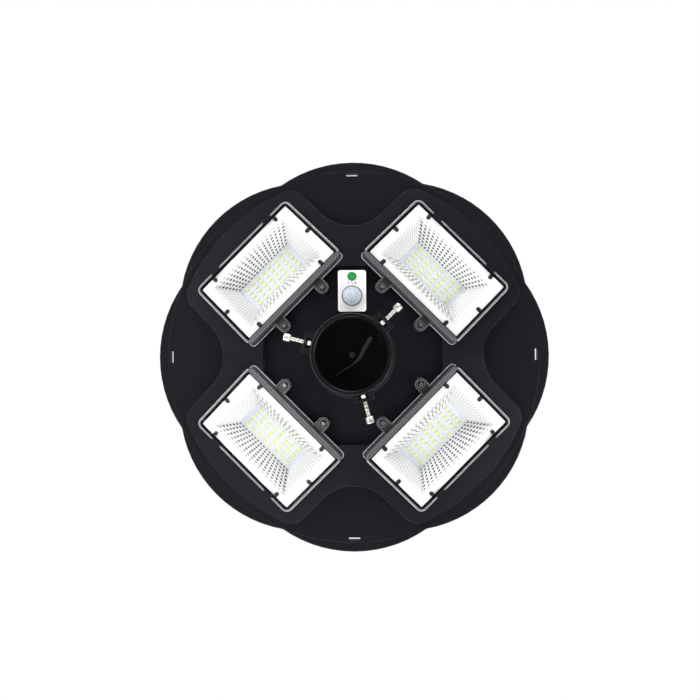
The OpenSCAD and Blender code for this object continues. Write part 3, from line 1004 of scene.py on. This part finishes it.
def cover_lips():
    """The step at the frame's foot, and the wide part of its top, both on the side facing the collar."""
    # The third number in each row is painted light and shade: pale where an edge catches light.
    foot = [(0.0, -2.45, 0.1), (0.0, -2.0, 0.5), (0.15, -1.8, 0.75), (0.5, -1.7, 0.5), (0.8, -1.7, 0.06)]
    top = [(0.1, 1.2, 0.08), (0.0, 1.5, 0.12), (0.0, 2.0, 0.22), (0.2, 2.3, 0.26), (0.5, 2.35, 0.1)]
    return [cover_strip(COVER_L - 1.5 * MM, 10.6 * MM, -COVER_W / 2 + 2.0 * MM, foot),
            cover_strip(COVER_L - 6.5 * MM, 4.0 * MM, -COVER_W / 2 + 4.2 * MM, top)]


# The tabs and the eyes round their screws carry painted light and shade too: pale lines where their edges
# catch light.
def cover_tab(y):
    rows = [(0.3, -4.0, 0.01), (0.0, -3.7, 0.02), (0.0, -1.5, 0.05), (0.15, -1.15, 0.12), (0.5, -1.0, 0.12),
            (1.2, -1.0, 0.03), (1.6, -1.15, 0.015), (1.9, -1.35, 0.01)]
    return loft([(tongue(TAB_R, TAB_REACH, inset * MM, z * MM, (TAB_X, y)), v) for inset, z, v in rows])


def tab_ring(y):
    """The raised eye round a tab's screw."""
    rows = [(0.0, -1.4, 0.02), (0.0, -1.0, 0.15), (0.25, -0.8, 0.2), (0.7, -0.8, 0.12), (0.95, -1.0, 0.02),
            (0.95, -1.4, 0.0)]
    return loft(outlines(2 * EYE_R, 2 * EYE_R, EYE_R, rows, at=(TAB_X, y)), ring=True)


def cover_window():
    return loft(outlines(COVER_L, COVER_W, CORNER_R, [(2.9, 1.2, 0.0), (2.9, 2.2, 0.0)]))


frame_parts = [cover_frame()] + cover_lips()
for y in (TAB_Y, -TAB_Y):
    frame_parts += [cover_tab(y), tab_ring(y)]
window = cover_window()
for number, place in enumerate(PLACES, 1):
    cover = "led_cover_%d" % number
    piece(cover + "_frame", [(part, place) for part in frame_parts], FROSTED_PAINTED_FRAME, slot="clear_cover",
          stands_for=(cover,))
    piece(cover + "_window", [(window, place)], CLEAR, slot="clear_cover")

# %% Pegs that hold the reflectors
PEG = material("dark peg", (0.012, 0.012, 0.013), 0.4)
FLANGE = (40.8 * MM, 67.75 * MM)


def peg(l, w, x, y):
    rows = [(0.0, -0.28, 0.0), (0.0, 0.3, 0.0), (0.3, 0.6, 0.0)]
    return loft(outlines(l, w, min(l, w) / 2, rows, at=(REFL_X + x, y)))


PEG_L, PEG_W = 6.6 * MM, 4.6 * MM
PEG_IN = 2.6 * MM
PEG_Y = 49.0 * MM
pegs = [peg(PEG_W, PEG_L, sx * (FLANGE[0] - PEG_IN), sy * PEG_Y) for sx in (1, -1) for sy in (1, -1)]
pegs += [peg(PEG_L, PEG_W, 0.0, sy * (FLANGE[1] - PEG_IN)) for sy in (1, -1)]
piece("reflector_pegs", [(part, place) for place in PLACES for part in pegs], PEG, slot="black_plastic")

# %% Cover screws and the ceiling screw


def cross_screw(r, low_z, rise):
    """A pan head with a cross recess; it points along +z. The recess's flank bands take the second material,
    a painted highlight where they catch the light.
    """
    return ring_part([(1.4 * MM, low_z), (1.4 * MM, 0.0), (r, 0.0),
                      (r, 0.4 * rise), (r * 0.93, 0.75 * rise),
                      (r * 0.7, rise), (r * 0.56, rise),
                      (cross_ring(1.7 * MM, 0.55 * MM), rise),
                      (cross_ring(1.3 * MM, 0.4 * MM), rise - 0.9 * MM),
                      (0.3 * MM, rise - 1.3 * MM)], 96, (6, 7))


pan_head = cross_screw(3.2 * MM, -9.0 * MM, 2.0 * MM)
for number, place in enumerate(PLACES, 1):
    spots = [place @ Matrix.Translation((TAB_X, y, -1.0 * MM)) for y in (TAB_Y, -TAB_Y)]
    screws = "cover_screws_%d" % number
    # The bright zinc on the recess flanks of the blackened screws is a painted highlight.
    piece(screws + "_finished", [(pan_head, spot) for spot in spots], (DARK_STEEL, STEEL), slot="steel",
          stands_for=(screws,))


def facing_down(y, z):
    """A place on the plane x = 0, with z pointing down."""
    return Matrix.Translation((0.0, y, z)) @ Matrix.Rotation(math.pi, 4, "X")


CEILING_Z = 34.5 * MM
small_head = cross_screw(3.4 * MM, -3.4 * MM, 1.9 * MM)
piece("ceiling_screw_finished", [(small_head, facing_down(0.0, CEILING_Z))], DULL_STEEL, slot="steel",
      stands_for=("ceiling_screw",))

# %% [markdown]
# ## Sensor plate
# The plate keeps its holes from the construction, with a white border round a pale field. The sensor's dome
# is pressed into small lenses: Geometry Nodes turn a ball of triangles into its dual, a net of six-sided
# cells, and raise each cell a little. The button is a piece of its own, because it moves.

# %% Plate
PLATE_Z = 51.0 * MM
PLATE_Y = -71.8 * MM
FIELD_HALF = (13.6 * MM, 21.1 * MM)
LENS_Y = -66.3 * MM
BUTTON_Y = -88.1 * MM


def plate_finish():
    """A white border round a slightly greyer field."""
    mat = material("white label plate", (0.93, 0.93, 0.925), 0.35)
    tree, bsdf = shader(mat)
    coord = tree.nodes.new("ShaderNodeTexCoord")
    split = new_node(tree, "ShaderNodeSeparateXYZ", Vector=coord.outputs["Object"])
    across = maths(tree, "ABSOLUTE", split.outputs["X"])
    along = maths(tree, "ABSOLUTE", maths(tree, "SUBTRACT", split.outputs["Y"], PLATE_Y))
    limits = [maths(tree, "LESS_THAN", far, half) for far, half in zip((across, along), FIELD_HALF)]
    inside = maths(tree, "MULTIPLY", *limits)
    set_input(tree, bsdf.inputs["Base Color"], mixed(tree, inside, (0.96, 0.96, 0.955), (0.85, 0.85, 0.87)))
    return mat


LABEL = plate_finish()
softened("sensor_plate_finished", "sensor_plate", 0.35 * MM,
         lambda e: abs(e.calc_face_angle(0.0)) > 0.8, LABEL, "white_label", 2)

# %% Switch marks
PRINT = material("grey print", (0.05, 0.045, 0.06), 0.6)
MARK_H = 0.16
MARK_Y = -80.6 * MM


def mark_place(x, turn=0.0):
    """A place on the plate's face, where a mark is printed."""
    return Matrix.Translation((x * MM, MARK_Y, PLATE_Z - 0.1 * MM)) @ Matrix.Rotation(turn, 4, "Z")


def stroke(l, w):
    return eased_box(w * MM, l * MM, MARK_H * MM, 0.0, 0.0)


ring_rows = [(0.0, 0.0, 0.0), (0.0, MARK_H, 0.0), (0.55, MARK_H, 0.0), (0.55, 0.0, 0.0)]
ring_mark = loft(outlines(2.3 * MM, 2.1 * MM, 1.05 * MM, ring_rows), ring=True)
marks = [(stroke(2.3, 0.7), mark_place(-4.0)), (stroke(2.9, 0.6), mark_place(0.0, -0.45)),
         (ring_mark, mark_place(4.0))]
piece("switch_marks", marks, PRINT, slot="white_label")

# %% Dome tree


def dome_tree():
    tree, inp, outp = geometry_tree("net of small lenses", ("Radius", "Float", 0.01), ("Detail", "Int", 3),
                                    ("Raise", "Float", 0.0002), ("Cell size", "Float", 0.82))
    size = inp.outputs
    ball = new_node(tree, "GeometryNodeMeshIcoSphere", Radius=size["Radius"], Subdivisions=size["Detail"])
    cells = new_node(tree, "GeometryNodeDualMesh", Mesh=ball.outputs["Mesh"])
    lift = new_node(tree, "GeometryNodeExtrudeMesh", Mesh=cells.outputs[0], Offset_Scale=size["Raise"],
                    Individual=True)
    shrink = new_node(tree, "GeometryNodeScaleElements", Geometry=lift.outputs["Mesh"],
                      Selection=lift.outputs["Top"], Scale=size["Cell size"])
    return end_tree(tree, inp, outp, shrink.outputs[0])


# %% Sensor dome
LENS_R = 11.4 * MM


def milky():
    """A milky plastic whose small cells differ a little, with a glow that paints in light, because the dome
    is no lamp.
    """
    mat = material("milky dome", (0.4, 0.43, 0.47), 0.3, Emission_Color=(0.8, 0.88, 1.0, 1.0),
                   Emission_Strength=0.26)
    tree, bsdf = shader(mat)
    coord = tree.nodes.new("ShaderNodeTexCoord")
    cells = new_node(tree, "ShaderNodeTexVoronoi", Vector=coord.outputs["Object"], Scale=520.0)
    shade = ramp(tree, cells.outputs["Distance"], 0.15, 0.7)
    set_input(tree, bsdf.inputs["Base Color"], mixed(tree, shade, (0.56, 0.59, 0.63), (0.26, 0.29, 0.34)))
    return mat


PAINTED_GLOW_LENS = milky()
SHADOW_LINE = material("dome's dark foot", (0.1, 0.105, 0.12), 0.4)


def half_dome():
    """The net of lenses, cut off just above its equator and closed."""
    dome = as_bmesh(run_tree(dome_tree(), Radius=LENS_R - 0.9 * MM, Raise=0.22 * MM, Material=PAINTED_GLOW_LENS))
    bmesh.ops.remove_doubles(dome, verts=dome.verts, dist=1e-6)
    bmesh.ops.bisect_plane(dome, geom=dome.verts[:] + dome.edges[:] + dome.faces[:], dist=1e-7,
                           plane_co=(0, 0, 0.2 * MM), plane_no=(0, 0, 1), clear_inner=True)
    bmesh.ops.holes_fill(dome, edges=[e for e in dome.edges if e.is_boundary], sides=0)
    bmesh.ops.recalc_face_normals(dome, faces=dome.faces)
    return dome


foot = ring_part([(LENS_R - 0.1 * MM, -0.1 * MM), (LENS_R, 0.1 * MM),
                  (LENS_R, 0.6 * MM), (LENS_R - 0.4 * MM, 1.0 * MM),
                  (LENS_R - 1.5 * MM, 1.0 * MM)], 96)
for face in foot.faces:
    face.material_index = 1
down = facing_down(LENS_Y, PLATE_Z)
piece("sensor_dome", [(half_dome(), down @ Matrix.Translation((0, 0, -0.3 * MM))), (foot, down)],
      (PAINTED_GLOW_LENS, SHADOW_LINE), slot="lens_plastic", angle=18.0, stands_for=("sensor_lens",))

# %% Green button
# One green moulding: the rim and sides take a darker copy, painted shade, and the dished top the lighter one.
GREEN = material("green button", (0.004, 0.34, 0.045), 0.28, Coat_Weight=0.2)
PAINTED_SHADE_GREEN = material("deep green rim", (0.004, 0.13, 0.03), 0.35)
BUTTON_R = 4.6 * MM
button = ring_part([(BUTTON_R - 0.3 * MM, -4.4 * MM), (BUTTON_R, -4.1 * MM),
                    (BUTTON_R, 1.2 * MM), (BUTTON_R - 0.35 * MM, 1.55 * MM),
                    (BUTTON_R - 0.8 * MM, 1.6 * MM), (BUTTON_R - 1.1 * MM, 1.45 * MM),
                    (BUTTON_R - 2.2 * MM, 1.2 * MM),
                    (BUTTON_R - 3.6 * MM, 1.08 * MM)], 64, (5, 6, 7))
piece("power_button_finished", [(button, facing_down(BUTTON_Y, PLATE_Z))], (PAINTED_SHADE_GREEN, GREEN),
      body="power_button", slot="green_button", stands_for=("power_button",))

# %% [markdown]
# ## Lead in the socket
# A flat lead crosses the ceiling of the socket. It lies broadside at one end and turns on edge towards the
# other; here it stays lying flat, and its width simply shrinks along the way.

# %% Socket lead
LEAD_PATH = ((21.0, -19.0, 4.6), (13.8, -6.7, 4.4), (7.7, 4.3, 3.4), (-0.9, 11.6, 1.9), (-10.6, 17.7, 1.4),
             (-18.0, 23.6, 1.1))


def smooth_path(points, steps=8):
    """Points on a smooth curve through the given ones."""
    ends = [points[0]] + list(points) + [points[-1]]
    done = []
    for a, b, c, d in zip(ends, ends[1:], ends[2:], ends[3:]):
        for k in range(steps):
            t = k / steps
            done.append(tuple(0.5 * (2 * q + (r - p) * t + (2 * p - 5 * q + 4 * r - s) * t * t
                                     + (3 * q - p - 3 * r + s) * t ** 3) for p, q, r, s in zip(a, b, c, d)))
    return done + [tuple(points[-1])]


LEAD_Z = 33.9
LEAD_HALF_T = 0.56


def lead_mesh():
    """Rings of points along the smooth path, each turned to face along it."""
    route = smooth_path(LEAD_PATH)
    turn = [2 * math.pi * n / 12 for n in range(12)]
    rows = []
    for k, (x, y, w) in enumerate(route):
        before, after = route[max(k - 1, 0)], route[min(k + 1, len(route) - 1)]
        along = Vector((after[0] - before[0], after[1] - before[1], 0.0)).normalized()
        side = Vector((-along.y, along.x, 0.0))
        middle = Vector((x, y, LEAD_Z))
        rows.append(([(middle + side * (w / 2 * math.cos(t)) + Vector((0, 0, LEAD_HALF_T * math.sin(t)))) * MM
                      for t in turn], 0.0))
    return loft(rows)


LEAD = material("grey lead", (0.04, 0.043, 0.05), 0.35)
piece("socket_lead_finished", [(lead_mesh(), Matrix.Identity(4))], LEAD, slot="grey_lead", angle=60.0,
      stands_for=("socket_lead",))

# %% [markdown]
# ## Solar panel
# The round panel faces the sky. Its cells stand in rows, cut off where the disc ends: Geometry Nodes lay a
# grid, drop the points too far from the middle, and set a cell, then its two silver bars, on each of the
# rest.

# %% Panel tree
PANEL_R = 168 * MM
PANEL_TOP = 112 * MM
CELL_X, CELL_Y = 31.0 * MM, 15.5 * MM
CELL_GAP = 1.1 * MM


def panel_tree():
    tree, inp, outp = geometry_tree(
        "cells on a disc", ("Shape", "Object", None), ("Reach", "Float", 0.15), ("Pitch X", "Float", 0.04),
        ("Pitch Y", "Float", 0.02), ("Columns", "Int", 11), ("Rows", "Int", 21))
    where = tree.nodes.new("GeometryNodeInputPosition")
    split = new_node(tree, "ShaderNodeSeparateXYZ", Vector=where.outputs[0])
    squares = []
    for k, label in enumerate(("Pitch X", "Pitch Y")):
        half = maths(tree, "MULTIPLY", inp.outputs[label], 0.5)
        far = maths(tree, "ADD", maths(tree, "ABSOLUTE", split.outputs[k]), half)
        squares.append(maths(tree, "POWER", far, 2.0))
    limit = maths(tree, "POWER", inp.outputs["Reach"], 2.0)
    keep = maths(tree, "LESS_THAN", maths(tree, "ADD", *squares), limit)
    points = grid_points(tree, inp, ("Columns", "Pitch X"), ("Rows", "Pitch Y"))
    return end_tree(tree, inp, outp, shapes_on(tree, inp, points, Selection=keep))


# %% Panel, cells and bars
GLASS = material("dark panel glass", (0.008, 0.009, 0.012), 0.35, Coat_Weight=1.0, Coat_Roughness=0.06)
CELLS = material("solar cells", (0.012, 0.028, 0.12), 0.3, Metallic=0.5, Coat_Weight=1.0, Coat_Roughness=0.05)
SILVER = material("silver bars", (0.55, 0.56, 0.58), 0.35, Metallic=0.8)
# (inset from the rim, depth under the top), in millimetres
DISC_ROWS = ((0.3, 4.0), (0.0, 3.7), (0.0, 0.9), (0.25, 0.35), (0.9, 0.1), (84.0, 0.1))
disc_rings = [(PANEL_R - inset * MM, PANEL_TOP - depth * MM) for inset, depth in DISC_ROWS]
disc = ring_part(disc_rings, 192)
piece("solar_panel_finished", [(disc, Matrix.Identity(4))], GLASS, slot="solar_cells",
      stands_for=("solar_panel",))

# %% Cells and bars
BAR_Y = 3.7 * MM
CELL_REACH = 165 * MM
cell = eased_box(CELL_X - CELL_GAP, CELL_Y - CELL_GAP, 0.05 * MM, 0.0, 0.0)
bars = bmesh.new()
for y in (-BAR_Y, BAR_Y):
    bmesh.ops.create_cube(bars, size=1.0, matrix=Matrix.Translation((0, y, 0.04 * MM))
                          @ Matrix.Diagonal((CELL_X - CELL_GAP, 0.6 * MM, 0.08 * MM, 1)))
PANEL = panel_tree()
for name, shape, mat in (("solar_cell_plates", cell, CELLS), ("solar_cell_bars", bars, SILVER)):
    part = laid_out(PANEL, shape, Reach=CELL_REACH, Pitch_X=CELL_X, Pitch_Y=CELL_Y, Material=mat)
    piece(name, [(part, Matrix.Translation((0, 0, PANEL_TOP - 0.1 * MM)))], mat, slot="solar_cells")

# %% Boards
BOARD = material("pale blue board", (0.84, 0.88, 1.0), 0.5)
for number in range(1, 5):
    board = NODES["led_board_%d" % number]
    board.data.materials.clear()
    board.data.materials.append(BOARD)
print("boards:", BOARD.name)
